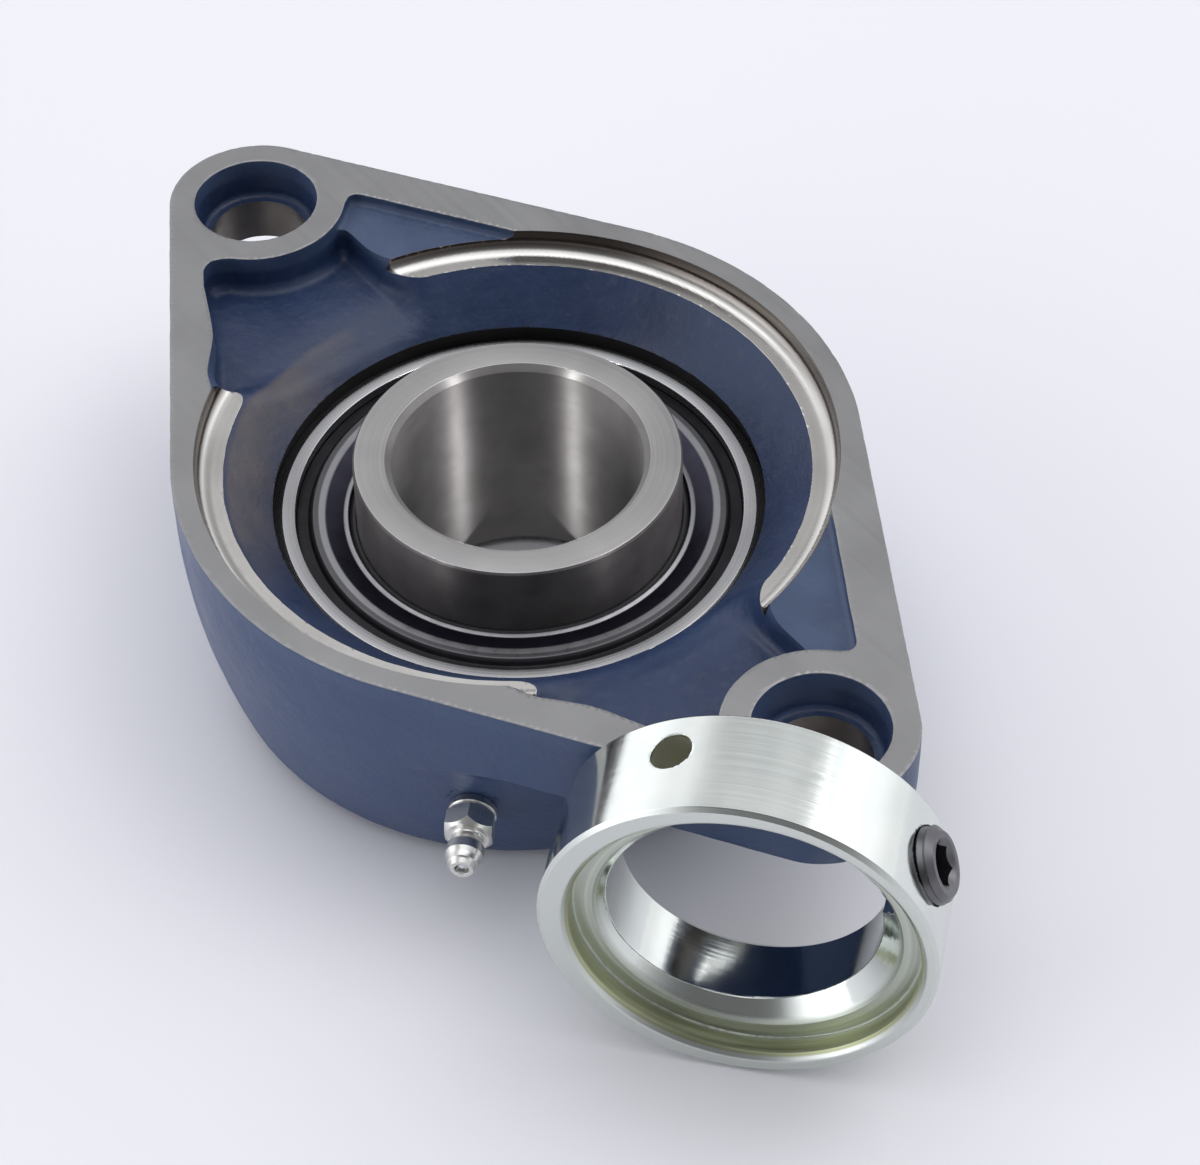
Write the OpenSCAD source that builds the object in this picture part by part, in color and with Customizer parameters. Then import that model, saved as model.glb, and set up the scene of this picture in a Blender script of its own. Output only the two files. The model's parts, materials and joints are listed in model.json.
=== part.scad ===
// Two-bolt flanged bearing unit with its eccentric locking collar off the shaft.
// The origin is on the bearing axis in the plane of the machined mounting face. +Z points out
// of that face, +X runs through the two bolt holes, and the unit stands on its hub's front.

/* [Housing] */
// Distance between the centres of the two bolt holes
bolt_spacing = 130; // [129:0.5:133]
// Radius of the round middle of the flange
flange_r = 47.6; // [47.4:0.1:48.4]
// Radius of each lug's round end
lug_r = 12.8; // [12.4:0.1:13.4]
// Thickness of the flange and its lugs
flange_t = 13; // [11:0.5:14]
// Height from the hub's front to the mounting face
hub_h = 38; // [38:0.1:39]
// Depth of the insert's centre below the mounting face
seat_depth = 21; // [20.8:0.1:21.2]
// Radius of each drilled bolt hole
bolt_hole_r = 7; // [6.5:0.1:7.2]

/* [Mounting face] */
// Radius of the turned register in the mounting face
register_r = 44.4; // [43.6:0.1:44.6]
// Depth of the register's ledge
register_depth = 3.3; // [2.5:0.1:3.6]
// Width of the machined strip between the lug's pocket and the outline
rim_w = 6.4; // [6:0.1:6.8]
// Depth of the deep half of each lug pocket
pocket_depth = 6; // [5:0.5:7]
// Depth of the shallow half of each lug pocket
shallow_depth = 1.5; // [1:0.1:2.3]

/* [Insert bearing] */
// Bore of the inner ring
shaft_d = 35; // [34:0.5:35]
// Spherical outside diameter of the outer ring
insert_d = 72; // [71.9:0.05:72]
// Width of the outer ring
outer_w = 19; // [19:0.1:19.2]
// Outside radius of the inner ring
inner_r = 22.8; // [22.7:0.02:22.82]
// How far the inner ring stands out of its centre on the mounting face side
inner_up = 18.9; // [17:0.1:20]
// How far the inner ring stands out of its centre on the hub side
inner_down = 15.9; // [15.5:0.1:15.9]
// Diameter of each ball
ball_d = 11.112; // [11:0.004:11.112]
// Number of balls
ball_count = 9; // [9]

/* [Locking collar] */
// Outside diameter of the collar
collar_d = 51; // [50.6:0.1:51]
// Width of the collar
collar_w = 15.5; // [15:0.1:15.5]
// Radius of the eccentric recess
recess_r = 22.35; // [22.3:0.05:22.5]
// Depth of the eccentric recess
recess_depth = 3.4; // [3:0.1:4]
// Eccentricity of the recess and of the inner ring's journal
eccentricity = 0.8; // [0.6:0.1:0.8]
// Radius of the set screw
screw_r = 5; // [4:0.5:5]

/* [Grease nipple] */
// Distance across the flats of the nipple's hexagon
nipple_af = 6.35; // [6.2:0.05:6.6]
// Angle of the nipple about the bearing axis
nipple_angle = -44.5; // [-50:0.5:-40]

/* [Hidden] */
$fn = 120;

eps = 0.02;
bolt_x = bolt_spacing / 2;
seat_z = -seat_depth;

// Running clearance between a shaft and its hole, and between a ball and its race
run_gap = 0.05;
race_gap = 0.03;

// Tangent angle of the straight sides between the round middle and a lug
side_a = asin((flange_r - lug_r) / bolt_x);

// Barrel-shaped side of the hub, with a round at its front edge
barrel_r = 96;
barrel_start = 6;
hub_round = 3;
barrel_x = flange_r - barrel_r;
round_z = hub_h - hub_round;
round_x = barrel_x + sqrt(pow(barrel_r - hub_round, 2) - pow(round_z - barrel_start, 2));
barrel_end = barrel_start + (round_z - barrel_start) * barrel_r / (barrel_r - hub_round);

// Bowl, spherical seat and front opening
seat_r = insert_d / 2 + run_gap;
ledge_r = 40.6;
seat_half = 11.2;
throat_r = sqrt(pow(seat_r, 2) - pow(seat_half, 2));
mouth_r = 36.5;
slot_w = outer_w + 0.4;
lube_groove = [34, 0.8, 1, 7];

// Lug pockets
boss_r = 13.2;
pocket_x = 57.6;
pocket_in_a = 35.7;
pocket_in_x = register_r * cos(pocket_in_a);
step_y = 7.7;
recess_top_r = 9;
recess_low_r = 8.4;

// Insert bearing: the outer ring's lands, races and seal seats
pitch_r = 26.75;
ball_r = ball_d / 2;
race_r = 5.75;
outer_race_x = pitch_r + ball_r + race_gap - race_r;
inner_race_x = pitch_r - ball_r - race_gap + race_r;
outer_half = outer_w / 2;
outer_land_r = 30;
seal_seat_r = 31.3;
seal_seat_h = 6.55;
journal_h = 11;
journal_r = 22;
inner_chamfer = 0.6;
grease_hole_r = 0.6;
grease_hole_h = 6.1;
bore_chamfer = 0.8;

// Cage: two pressed halves and their rivets
cage_in_r = 25;
cage_out_r = 28.5;
cage_t = 0.7;
pocket_in_r = 5.72;
pocket_out_r = 6.25;
rivet_r = 0.6;
rivet_head_r = 1.1;

// Collar: it stands on its rim beside the +X lug, with its recess facing away from it
collar_at = [78.3, -24.5, -12.2];
collar_turn = 220.7;
collar_lean = 0.9;
collar_chamfer = 0.6;
collar_mouth = 1.2;
pin_a = 66;
pin_t = 9.9;
pin_r = 2.8;
pin_depth = 5;
screw_a = 154;
screw_t = 8.5;
screw_in = 19.2;
screw_out = 27.2;
screw_af = 5;

// Nipple, along its own axis from the bearing's centre line
nipple_z = -23;
wall_s = 46.2;
spot_face_r = 4.2;
thread_s = 38.4;
thread_r = 3;
hex_h = 3.4;
neck_r = 1.9;
head_r = 3.1;
head_s = wall_s + 10.4;
gallery_r = 1.3;
mouth_hole_r = 0.9;
check_ball_r = 1.15;
check_ball_s = head_s - 1.5;
spring_wire_r = 0.18;
spring_r = 0.9;
spring_s = [wall_s - 2.6, check_ball_s - 1.25];
spring_turns = 6;

BALLS = [for (i = [1 : ball_count]) str("ball_", i)];

// Outline of the flange, drawn in by inset on every side
module flange_outline(inset) {
    big = flange_r - inset;
    small = lug_r - inset;
    circle(r = big);
    for (side = [-1, 1]) {
        translate([side * bolt_x, 0])
            circle(r = small);
        polygon([
            [side * big * sin(side_a), big * cos(side_a)],
            [side * (bolt_x + small * sin(side_a)), small * cos(side_a)],
            [side * (bolt_x + small * sin(side_a)), -small * cos(side_a)],
            [side * big * sin(side_a), -big * cos(side_a)]
        ]);
    }
}

// Half section of the solid hub: a short straight rim, the barrel and the front round
module hub_profile() {
    translate([0, -barrel_start])
        square([flange_r, barrel_start]);
    intersection() {
        translate([barrel_x, -barrel_start])
            circle(r = barrel_r, $fn = 360);
        translate([0, -barrel_end])
            square([flange_r, barrel_end - barrel_start]);
    }
    translate([0, -hub_h])
        square([round_x, hub_h - barrel_start]);
    translate([round_x, -round_z])
        circle(r = hub_round);
}

// Everything turned out of the hub: register, bowl, spherical seat, front mouth
module hub_cavity() {
    rotate_extrude()
        polygon([
            [0, 1],
            [register_r, 1],
            [register_r, -register_depth],
            [ledge_r, -register_depth],
            [throat_r, seat_z + seat_half],
            [0, seat_z + seat_half]
        ]);
    intersection() {
        translate([0, 0, seat_z])
            sphere(r = seat_r);
        translate([0, 0, seat_z - seat_half])
            cylinder(r = seat_r + 1, h = 2 * seat_half);
    }
    rotate_extrude()
        polygon([
            [0, seat_z - seat_half + eps],
            [throat_r, seat_z - seat_half + eps],
            [mouth_r, -hub_h - eps],
            [0, -hub_h - eps]
        ]);
    // Loading slots, through which the insert is put in sideways
    intersection() {
        translate([0, 0, -hub_h - 1])
            cylinder(r = seat_r, h = hub_h + 1 + seat_z);
        translate([-seat_r - 1, -slot_w / 2, -hub_h - 1])
            cube([2 * seat_r + 2, slot_w, hub_h + 1 + seat_z]);
    }
    // Grease groove round the seat
    rotate_extrude()
        translate([lube_groove[0], seat_z - lube_groove[3]])
            square([seat_r + lube_groove[1] - lube_groove[0], lube_groove[3] - lube_groove[2]]);
}

// One lug pocket, on the +X side: deep for y below the step, shallow above it
module lug_pocket(depth, y_from, y_to) {
    translate([0, 0, -depth])
        linear_extrude(height = depth + 1)
            difference() {
                intersection() {
                    flange_outline(rim_w);
                    translate([pocket_in_x, y_from])
                        square([pocket_x - pocket_in_x, y_to - y_from]);
                }
                translate([bolt_x, 0])
                    circle(r = boss_r);
            }
}

// One bolt hole: a cored recess in the mounting face and the drilled hole below it
module bolt_hole() {
    translate([bolt_x, 0, -flange_t - 1])
        cylinder(r = bolt_hole_r, h = flange_t + 2);
    translate([bolt_x, 0, -pocket_depth])
        cylinder(r1 = recess_low_r, r2 = recess_top_r, h = pocket_depth + eps);
}

// Turns a shape drawn along +Z into one along the nipple's axis
module along_nipple() {
    translate([0, 0, nipple_z])
        rotate([0, 0, nipple_angle])
            rotate([0, 90, 0])
                children();
}

module housing() {
    color("#3d4a68")
        difference() {
            union() {
                translate([0, 0, -flange_t])
                    linear_extrude(height = flange_t)
                        flange_outline(0);
                rotate_extrude()
                    hub_profile();
            }
            hub_cavity();
            for (side = [0, 1])
                mirror([side, 0, 0]) {
                    lug_pocket(pocket_depth, -flange_r, step_y);
                    lug_pocket(shallow_depth, step_y - eps, flange_r);
                    bolt_hole();
                }
            along_nipple() {
                translate([0, 0, thread_s - 0.4])
                    cylinder(r = thread_r + eps, h = 20);
                translate([0, 0, thread_s - 6])
                    cylinder(r = gallery_r, h = 6);
                translate([0, 0, wall_s])
                    cylinder(r = spot_face_r, h = 10);
            }
        }
}

// A section drawn round the bearing's axis, about the insert's centre
module ring_at_seat() {
    translate([0, 0, seat_z])
        rotate_extrude()
            children();
}

module outer_ring() {
    color("#c9ccd0")
        difference() {
            ring_at_seat()
                difference() {
                    intersection() {
                        circle(r = insert_d / 2, $fn = 360);
                        translate([outer_land_r, -outer_half])
                            square([insert_d / 2, outer_w]);
                    }
                    translate([outer_race_x, 0])
                        circle(r = race_r);
                    for (side = [0, 1])
                        mirror([0, side])
                            outer_ring_end();
                }
            // Two small grease holes beside the race
            for (turn = [nipple_angle, nipple_angle + 180])
                translate([0, 0, seat_z - grease_hole_h])
                    rotate([0, 90, turn])
                        cylinder(r = grease_hole_r, h = insert_d / 2 + 1);
        }
}

// What is cut from each end of the outer ring: the seal's seat, its snap groove and a chamfer
module outer_ring_end() {
    translate([outer_land_r - 1, seal_seat_h])
        square([seal_seat_r - outer_land_r + 1, 4]);
    translate([outer_land_r, 7.5])
        square([1.9, 0.7]);
    polygon([[33.1, outer_half + eps], [36.2, outer_half + eps], [36.2, 7.7], [35.2, 7.9]]);
}

module inner_ring() {
    color("#b9bdc2")
        translate([0, 0, seat_z])
            difference() {
                union() {
                    rotate_extrude()
                        difference() {
                            polygon([
                                [shaft_d / 2, -journal_h],
                                [inner_r, -journal_h],
                                [inner_r, inner_up - inner_chamfer],
                                [inner_r - inner_chamfer, inner_up],
                                [shaft_d / 2, inner_up]
                            ]);
                            translate([inner_race_x, 0])
                                circle(r = race_r);
                        }
                    translate([eccentricity, 0, -inner_down])
                        cylinder(r = journal_r, h = inner_down - journal_h + eps);
                }
                translate([0, 0, -inner_down - 1])
                    cylinder(r = shaft_d / 2, h = inner_down + inner_up + 2);
                for (end = [[inner_up, 1], [-inner_down, -1]])
                    translate([0, 0, end[0]])
                        mirror([0, 0, (1 - end[1]) / 2])
                            bore_chamfer_cut();
            }
}

// The chamfer at the mouth of the shaft bore
module bore_chamfer_cut() {
    translate([0, 0, -bore_chamfer])
        cylinder(r1 = shaft_d / 2 - eps, r2 = shaft_d / 2 + bore_chamfer + eps,
                 h = bore_chamfer + 2 * eps);
}

module one_ball(i) {
    color("#d8dade")
        translate([0, 0, seat_z])
            rotate([0, 0, i * 360 / ball_count])
                translate([pitch_r, 0, 0])
                    sphere(r = ball_r);
}

// Upper half of the cage: a flat ribbon with a round pocket over each ball
module cage_half() {
    difference() {
        intersection() {
            union() {
                cylinder(r = cage_out_r, h = cage_t);
                for (i = [1 : ball_count])
                    rotate([0, 0, i * 360 / ball_count])
                        translate([pitch_r, 0, 0])
                            sphere(r = pocket_out_r);
            }
            cylinder(r = cage_out_r, h = 8);
        }
        translate([0, 0, -1])
            cylinder(r = cage_in_r, h = 10);
        for (i = [1 : ball_count])
            rotate([0, 0, i * 360 / ball_count]) {
                translate([pitch_r, 0, 0])
                    sphere(r = pocket_in_r);
                rotate([0, 0, 180 / ball_count])
                    translate([pitch_r, 0, -1])
                        cylinder(r = rivet_r + eps, h = 3);
            }
    }
}

module cage_upper() {
    color("#a8823c")
        translate([0, 0, seat_z + eps])
            cage_half();
}

module cage_lower() {
    color("#a8823c")
        translate([0, 0, seat_z - eps])
            mirror([0, 0, 1])
                cage_half();
}

// A rivet between each pair of balls, with a low head at each end
module cage_rivets() {
    color("#8c8f94")
        translate([0, 0, seat_z])
            for (i = [1 : ball_count])
                rotate([0, 0, (i + 0.5) * 360 / ball_count])
                    translate([pitch_r, 0, 0])
                        rotate_extrude($fn = 32)
                            polygon([
                                [0, -1.4], [0.6, -1.3], [rivet_head_r, -0.75], [rivet_r, -0.75],
                                [rivet_r, 0.75], [rivet_head_r, 0.75], [0.6, 1.3], [0, 1.4]
                            ]);
}

// Draws a seal part above the insert's centre, or its mirror image below it
module seal_at(side) {
    translate([0, 0, seat_z])
        mirror([0, 0, (1 - side) / 2])
            rotate_extrude()
                children();
}

// Pressed steel cover: flat in its groove, a raised bead, and a cone down to the inner edge
module seal_washer(side) {
    color("#5d6472")
        seal_at(side)
            polygon([
                [31.7, 7.6], [31.7, 8.1], [29.6, 8.1], [28.9, 9], [27.2, 9], [24.6, 8.3],
                [23.9, 8.6], [23.9, 8.1], [24.6, 7.8], [27.2, 8.5], [28.5, 8.5], [29.2, 7.6]
            ]);
}

// Rubber sealing lip, which runs on the inner ring
module seal_lip(side) {
    color("#26262b")
        seal_at(side)
            polygon([
                [31.2, 7.02], [31.2, 7.5], [24.2, 7.5], [23.3, 8.2], [inner_r + run_gap, 8.2],
                [inner_r + run_gap, 7.9], [23.6, 7.02]
            ]);
}

// Steel washer behind the lip
module seal_backing(side) {
    color("#8f949c")
        seal_at(side)
            translate([24.2, 6.58])
                square([seal_seat_r - 24.2 - eps, 0.4]);
}

module grease_nipple() {
    color("#b4b6b8")
        along_nipple()
            difference() {
                union() {
                    rotate_extrude()
                        polygon([
                            [0, thread_s], [thread_r - 0.5, thread_s], [thread_r, thread_s + 0.5],
                            [thread_r, wall_s], [3.3, wall_s], [3.3, wall_s + 1.2],
                            [2.7, wall_s + 1.2], [2.7, wall_s + 4.9], [neck_r, wall_s + 5.6],
                            [neck_r, head_s - 3.4], [head_r, head_s - 2.1],
                            [head_r, head_s - 1.4], [1.5, head_s], [0, head_s]
                        ]);
                    translate([0, 0, wall_s + 1.5])
                        cylinder(r = nipple_af / sqrt(3), h = hex_h, $fn = 6);
                }
                translate([0, 0, thread_s - 1])
                    cylinder(r = gallery_r, h = check_ball_s - thread_s + 1);
                translate([0, 0, check_ball_s])
                    sphere(r = gallery_r);
                translate([0, 0, thread_s])
                    cylinder(r = mouth_hole_r, h = head_s - thread_s + 1);
            }
}

module nipple_ball() {
    color("#d8dade")
        along_nipple()
            translate([0, 0, check_ball_s])
                sphere(r = check_ball_r);
}

// Points of the spring's wire: rings of points round a helix
function coil_point(turn) = [spring_r * cos(360 * turn), spring_r * sin(360 * turn),
    spring_s[0] + spring_wire_r + (spring_s[1] - spring_s[0]) * turn / spring_turns];
function wire_ring(turn, sides) = [for (k = [0 : sides - 1])
    let (a = 360 * k / sides, p = coil_point(turn), r = spring_r + spring_wire_r * cos(a))
    [r * cos(360 * turn), r * sin(360 * turn), p[2] + spring_wire_r * sin(a)]];

module nipple_spring() {
    sides = 6;
    steps = 12 * spring_turns;
    points = [for (i = [0 : steps]) each wire_ring(i / 12, sides)];
    walls = [for (i = [0 : steps - 1], k = [0 : sides - 1])
        let (a = i * sides + k, b = i * sides + (k + 1) % sides)
        each [[a, b, b + sides], [a, b + sides, a + sides]]];
    start = [for (k = [sides - 1 : -1 : 0]) k];
    finish = [for (k = [0 : sides - 1]) steps * sides + k];
    color("#8c8f94")
        along_nipple()
            polyhedron(points = points, faces = concat(walls, [start, finish]));
}

// Puts a shape into the collar's place: its axis lies level, +Z into the collar's body
module at_collar() {
    translate(collar_at)
        rotate([0, 0, collar_turn])
            rotate([90 + collar_lean, 0, 0])
                children();
}

// Turns a shape drawn along +Z into one along a radius of the collar
module along_radius(angle, t) {
    translate([0, 0, t])
        rotate([0, 90, angle])
            children();
}

module locking_collar() {
    wall_r = collar_d / 2;
    bore_r = shaft_d / 2 + run_gap;
    color("#cfd6cf")
        at_collar()
            difference() {
                rotate_extrude()
                    polygon([
                        [bore_r, 0], [wall_r - collar_chamfer, 0], [wall_r, collar_chamfer],
                        [wall_r, collar_w - collar_chamfer], [wall_r - collar_chamfer, collar_w],
                        [bore_r + collar_mouth, collar_w], [bore_r, collar_w - collar_mouth]
                    ]);
                translate([-eccentricity, 0, -1]) {
                    cylinder(r = recess_r, h = recess_depth + 1);
                    translate([0, 0, 1 - eps])
                        cylinder(r1 = recess_r + 0.4, r2 = recess_r, h = 0.4);
                }
                along_radius(pin_a, pin_t)
                    translate([0, 0, wall_r - pin_depth])
                        cylinder(r = pin_r, h = pin_depth + 1);
                along_radius(screw_a, screw_t)
                    cylinder(r = screw_r + run_gap, h = wall_r + 1);
            }
}

module set_screw() {
    color("#222327")
        at_collar()
            along_radius(screw_a, screw_t)
                difference() {
                    rotate_extrude()
                        polygon([
                            [0, screw_in + 0.8], [1.8, screw_in], [3, screw_in],
                            [screw_r, screw_in + 1.5], [screw_r, screw_out - 0.9],
                            [screw_r - 0.9, screw_out], [0, screw_out]
                        ]);
                    translate([0, 0, screw_out - 4])
                        cylinder(r = screw_af / sqrt(3), h = 5, $fn = 6);
                }
}

housing();
outer_ring();
inner_ring();
for (i = [1 : ball_count])
    one_ball(i);
cage_upper();
cage_lower();
cage_rivets();
seal_washer(1);  // upper_seal_washer
seal_lip(1);  // upper_seal_lip
seal_backing(1);  // upper_seal_backing
seal_washer(-1);  // lower_seal_washer
seal_lip(-1);  // lower_seal_lip
seal_backing(-1);  // lower_seal_backing
grease_nipple();
nipple_ball();
nipple_spring();
locking_collar();
set_screw();
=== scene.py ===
import json
import math

import bpy
import numpy as np
from mathutils import Matrix, Vector


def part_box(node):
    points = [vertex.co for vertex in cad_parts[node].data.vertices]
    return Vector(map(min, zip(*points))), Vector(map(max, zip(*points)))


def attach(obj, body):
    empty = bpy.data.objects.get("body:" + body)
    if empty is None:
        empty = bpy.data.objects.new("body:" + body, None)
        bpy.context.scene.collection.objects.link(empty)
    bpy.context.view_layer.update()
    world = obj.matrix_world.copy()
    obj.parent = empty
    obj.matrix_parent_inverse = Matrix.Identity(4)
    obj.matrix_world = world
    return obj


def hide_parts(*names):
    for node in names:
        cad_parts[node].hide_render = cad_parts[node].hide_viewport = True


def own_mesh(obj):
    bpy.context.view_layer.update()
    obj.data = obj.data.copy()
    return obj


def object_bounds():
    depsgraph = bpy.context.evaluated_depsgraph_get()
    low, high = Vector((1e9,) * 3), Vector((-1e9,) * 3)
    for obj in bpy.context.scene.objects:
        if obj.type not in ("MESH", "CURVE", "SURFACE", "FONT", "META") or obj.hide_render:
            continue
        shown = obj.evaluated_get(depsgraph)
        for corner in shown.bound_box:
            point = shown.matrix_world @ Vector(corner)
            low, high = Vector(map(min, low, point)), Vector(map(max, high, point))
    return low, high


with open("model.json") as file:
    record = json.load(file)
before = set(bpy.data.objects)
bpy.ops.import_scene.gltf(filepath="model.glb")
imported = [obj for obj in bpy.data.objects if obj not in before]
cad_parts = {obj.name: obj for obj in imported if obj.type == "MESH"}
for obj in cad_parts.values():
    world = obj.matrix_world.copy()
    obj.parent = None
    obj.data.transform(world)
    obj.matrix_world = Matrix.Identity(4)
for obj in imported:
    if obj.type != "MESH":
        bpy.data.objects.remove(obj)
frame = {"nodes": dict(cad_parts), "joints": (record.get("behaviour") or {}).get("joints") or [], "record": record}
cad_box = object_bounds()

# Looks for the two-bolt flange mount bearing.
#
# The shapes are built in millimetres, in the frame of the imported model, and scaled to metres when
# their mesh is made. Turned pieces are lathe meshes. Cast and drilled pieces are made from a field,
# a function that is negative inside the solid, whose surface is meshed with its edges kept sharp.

MM = 0.001
SQRT2 = math.sqrt(2)
record = frame["record"]
mounts = {m["name"]: m for m in record["mounts"]}
joints = {j["name"]: j for j in frame["joints"]}


def box_mm(node):
    """Lowest and highest corner of a CAD node, in millimetres."""
    low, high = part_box(node)
    return np.array(low) / MM, np.array(high) / MM


# ---------------------------------------------------------------- sizes, in millimetres

housing_low, housing_high = box_mm("housing")
hub_z = housing_low[2]
flange_r = housing_high[1]
bolt_x = mounts["flange_bolts"]["dims"]["spacing_x_mm"] / 2
bolt_hole_r = mounts["flange_bolts"]["dims"]["hole_r_mm"]
lug_r = housing_high[0] - bolt_x
seat_z = joints["insert_align"]["pos_m"][2] / MM

# Housing: flange, bulging hub wall, register and spherical seat
FLANGE_T, FLANGE_EDGE_R = 13.0, 1.5
BARREL_R, BARREL_TOP = 96.0, -6.0
HUB_EDGE_R, HUB_FILLET = 3.0, 3.0
REGISTER_R, REGISTER_Z, REGISTER_FILLET = 44.4, -3.3, 2.2
LEDGE_R = 40.6
SEAT_R, SEAT_HALF = 36.05, 11.2
THROAT_R = math.sqrt(SEAT_R ** 2 - SEAT_HALF ** 2)
MOUTH_R = 36.5
SLOT_W = 19.4
MILLED_EDGE_R = 0.12

# Housing: lug pockets and the cored recesses over the bolt holes
RIM_W, RIM_THIN = 6.4, 1.4
RIM_THIN_X, RIM_THIN_RUN = 44.0, 10.0
BOSS_R = 13.2
POCKET_X, POCKET_IN_X, SHALLOW_IN_X = 57.6, 37.2, 34.0
POCKET_Z, POCKET_SLOPE, SHALLOW_Z = -6.0, 0.03, -1.5
STEP_Y, STEP_LAP = 7.7, 3.0
RECESS_TOP_R, RECESS_LOW_R = 9.0, 8.4
CAST_SKIN, CAST_WAVE, CAST_WAVE_H = 0.06, 9.0, 0.03

# Insert
outer_half = (box_mm("outer_ring")[1][2] - box_mm("outer_ring")[0][2]) / 2
bore_r = mounts["shaft_bore"]["dims"]["r_mm"]
inner_r = (box_mm("inner_ring")[1][1] - box_mm("inner_ring")[0][1]) / 2
inner_low_z, inner_high_z = box_mm("inner_ring")[0][2], box_mm("inner_ring")[1][2]
OUTER_R, OUTER_FACE_R, OUTER_TURN = 36.0, 33.1, 0.225
SEAL_SEAT_R, LAND_R, LAND_HALF = 31.3, 30.0, 6.55
BORE_CHAMFER, BORE_MOUTH = 0.4, 0.9

# Collar in its own frame: z from its front face, x towards its set screw
collar_bore_r = mounts["collar_bore"]["dims"]["r_mm"]
COLLAR_R, COLLAR_W = 25.5, 15.5
COLLAR_CHAMFER, COLLAR_MOUTH = 0.55, 1.2
COLLAR_RECESS_R, COLLAR_RECESS, COLLAR_OFF = 22.35, 3.4, 0.8
RECESS_CHAMFER = 0.85
RECESS_TURN = math.radians(180 - 154)
PIN_TURN, PIN_T, PIN_R, PIN_DEPTH = math.radians(66 - 154), 9.9, 2.8, 5.0

# Set screw along the collar's x axis
SCREW_T, SCREW_R, SCREW_OUT, SCREW_IN, SCREW_AF = 8.5, 5.0, 27.2, 19.2, 5.0
SCREW_GAP, SCREW_PITCH, THREAD_H = 0.05, 1.25, 0.28
SCREW_TOP_CHAMFER, SCREW_END_CHAMFER = 0.9, 1.5
SOCKET_DEPTH, SOCKET_MOUTH_R = 4, 3.3

# Grease nipple along its own axis, from the hub's wall outwards
WALL_S = 46.2
NIPPLE_AF, NIPPLE_LONG, THREAD_LONG = 6.35, 10.4, 7.6
NIPPLE_THREAD_R, NIPPLE_HOLE_R, NIPPLE_HOLE_S, SPOT_R = 2.98, 3.0, 38.0, 4.2
SHOULDER_R, SHOULDER_S = 3.3, 1.3
HEXAGON_LOW, HEXAGON_HIGH, HEXAGON_POINT_R = 1.2, 5.0, 4.75
NECK_R, HEAD_R, HEAD_LOW, HEAD_MIDDLE = 2.0, 2.55, 6.1, 8.2
MOUTH_HOLE_R, MOUTH_HOLE_S = 0.95, 8.6

# Spring behind the nipple's check ball
SPRING_S, SPRING_LONG, SPRING_TURNS = WALL_S - 2.6, 10.6, 6
COIL_R, WIRE_R = 0.9, 0.18


# ---------------------------------------------------------------- fields

def round_max(a, b, r):
    """Meeting of two solids, with its outer edge rounded to radius r."""
    return np.minimum(np.maximum(a, b), -r) + np.hypot(np.maximum(a + r, 0), np.maximum(b + r, 0))


def round_min(a, b, r):
    """Union of two solids, with a fillet of radius r where they meet."""
    return -round_max(-a, -b, r)


def slab(t, low, high):
    return np.maximum(low - t, t - high)


def waviness(x, y, z, size, height):
    """Gentle lumps such as a casting has: a few crossed waves about size wide."""
    total = 0.0
    for k, (a, b, c) in enumerate([(1.0, 0.37, 0.61), (-0.53, 1.1, 0.29), (0.41, -0.77, 1.2),
                                   (1.3, 0.9, -0.45), (-1.7, 0.6, 1.1)]):
        phase = (a * x + b * y + c * z) * 2 * math.pi / size
        total = total + np.sin(phase + 1.7 * k) * np.sin(0.43 * phase + 0.9 * k)
    return height * total / 2.5


def gradient(field, x, y, z, step=0.02):
    """Direction in which the field grows, as unit vectors."""
    g = np.stack([
        field(x + step, y, z) - field(x - step, y, z),
        field(x, y + step, z) - field(x, y - step, z),
        field(x, y, z + step) - field(x, y, z - step),
    ], axis=1)
    return g / np.maximum(np.linalg.norm(g, axis=1, keepdims=True), 1e-12)


# ---------------------------------------------------------------- meshing

def sample(field, axes):
    """The field at every node of the grid, worked out a few layers at a time."""
    value = np.empty([len(a) for a in axes], np.float32)
    y, z = axes[1][None, :, None], axes[2][None, None, :]
    for i in range(0, len(axes[0]), 12):
        x = axes[0][i:i + 12, None, None]
        value[i:i + 12] = field(*np.broadcast_arrays(x, y, z))
    return value


def crossings(field, value, axes, along):
    """Grid edges along one axis that the surface crosses: index, point and whether it leaves."""
    lower = [slice(None)] * 3
    upper = [slice(None)] * 3
    lower[along], upper[along] = slice(None, -1), slice(1, None)
    first, second = value[tuple(lower)], value[tuple(upper)]
    index = np.argwhere((first < 0) != (second < 0))
    where = tuple(index.T)
    fa, fb = first[where].astype(float), second[where].astype(float)
    start = np.stack([axes[k][index[:, k]] for k in range(3)], axis=1)
    cell = axes[along][1] - axes[along][0]
    a, b = np.zeros(len(index)), np.ones(len(index))
    leaving = fa < 0
    point = start.copy()
    for _ in range(4):
        t = a + (b - a) * np.clip(fa / (fa - fb), 0.02, 0.98)
        point[:, along] = start[:, along] + t * cell
        f = field(*point.T)
        first_side = (f < 0) == (fa < 0)
        a, fa = np.where(first_side, t, a), np.where(first_side, f, fa)
        b, fb = np.where(first_side, b, t), np.where(first_side, fb, f)
    point[:, along] = start[:, along] + (a + (b - a) * fa / (fa - fb)) * cell
    return index, point, leaving


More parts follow.
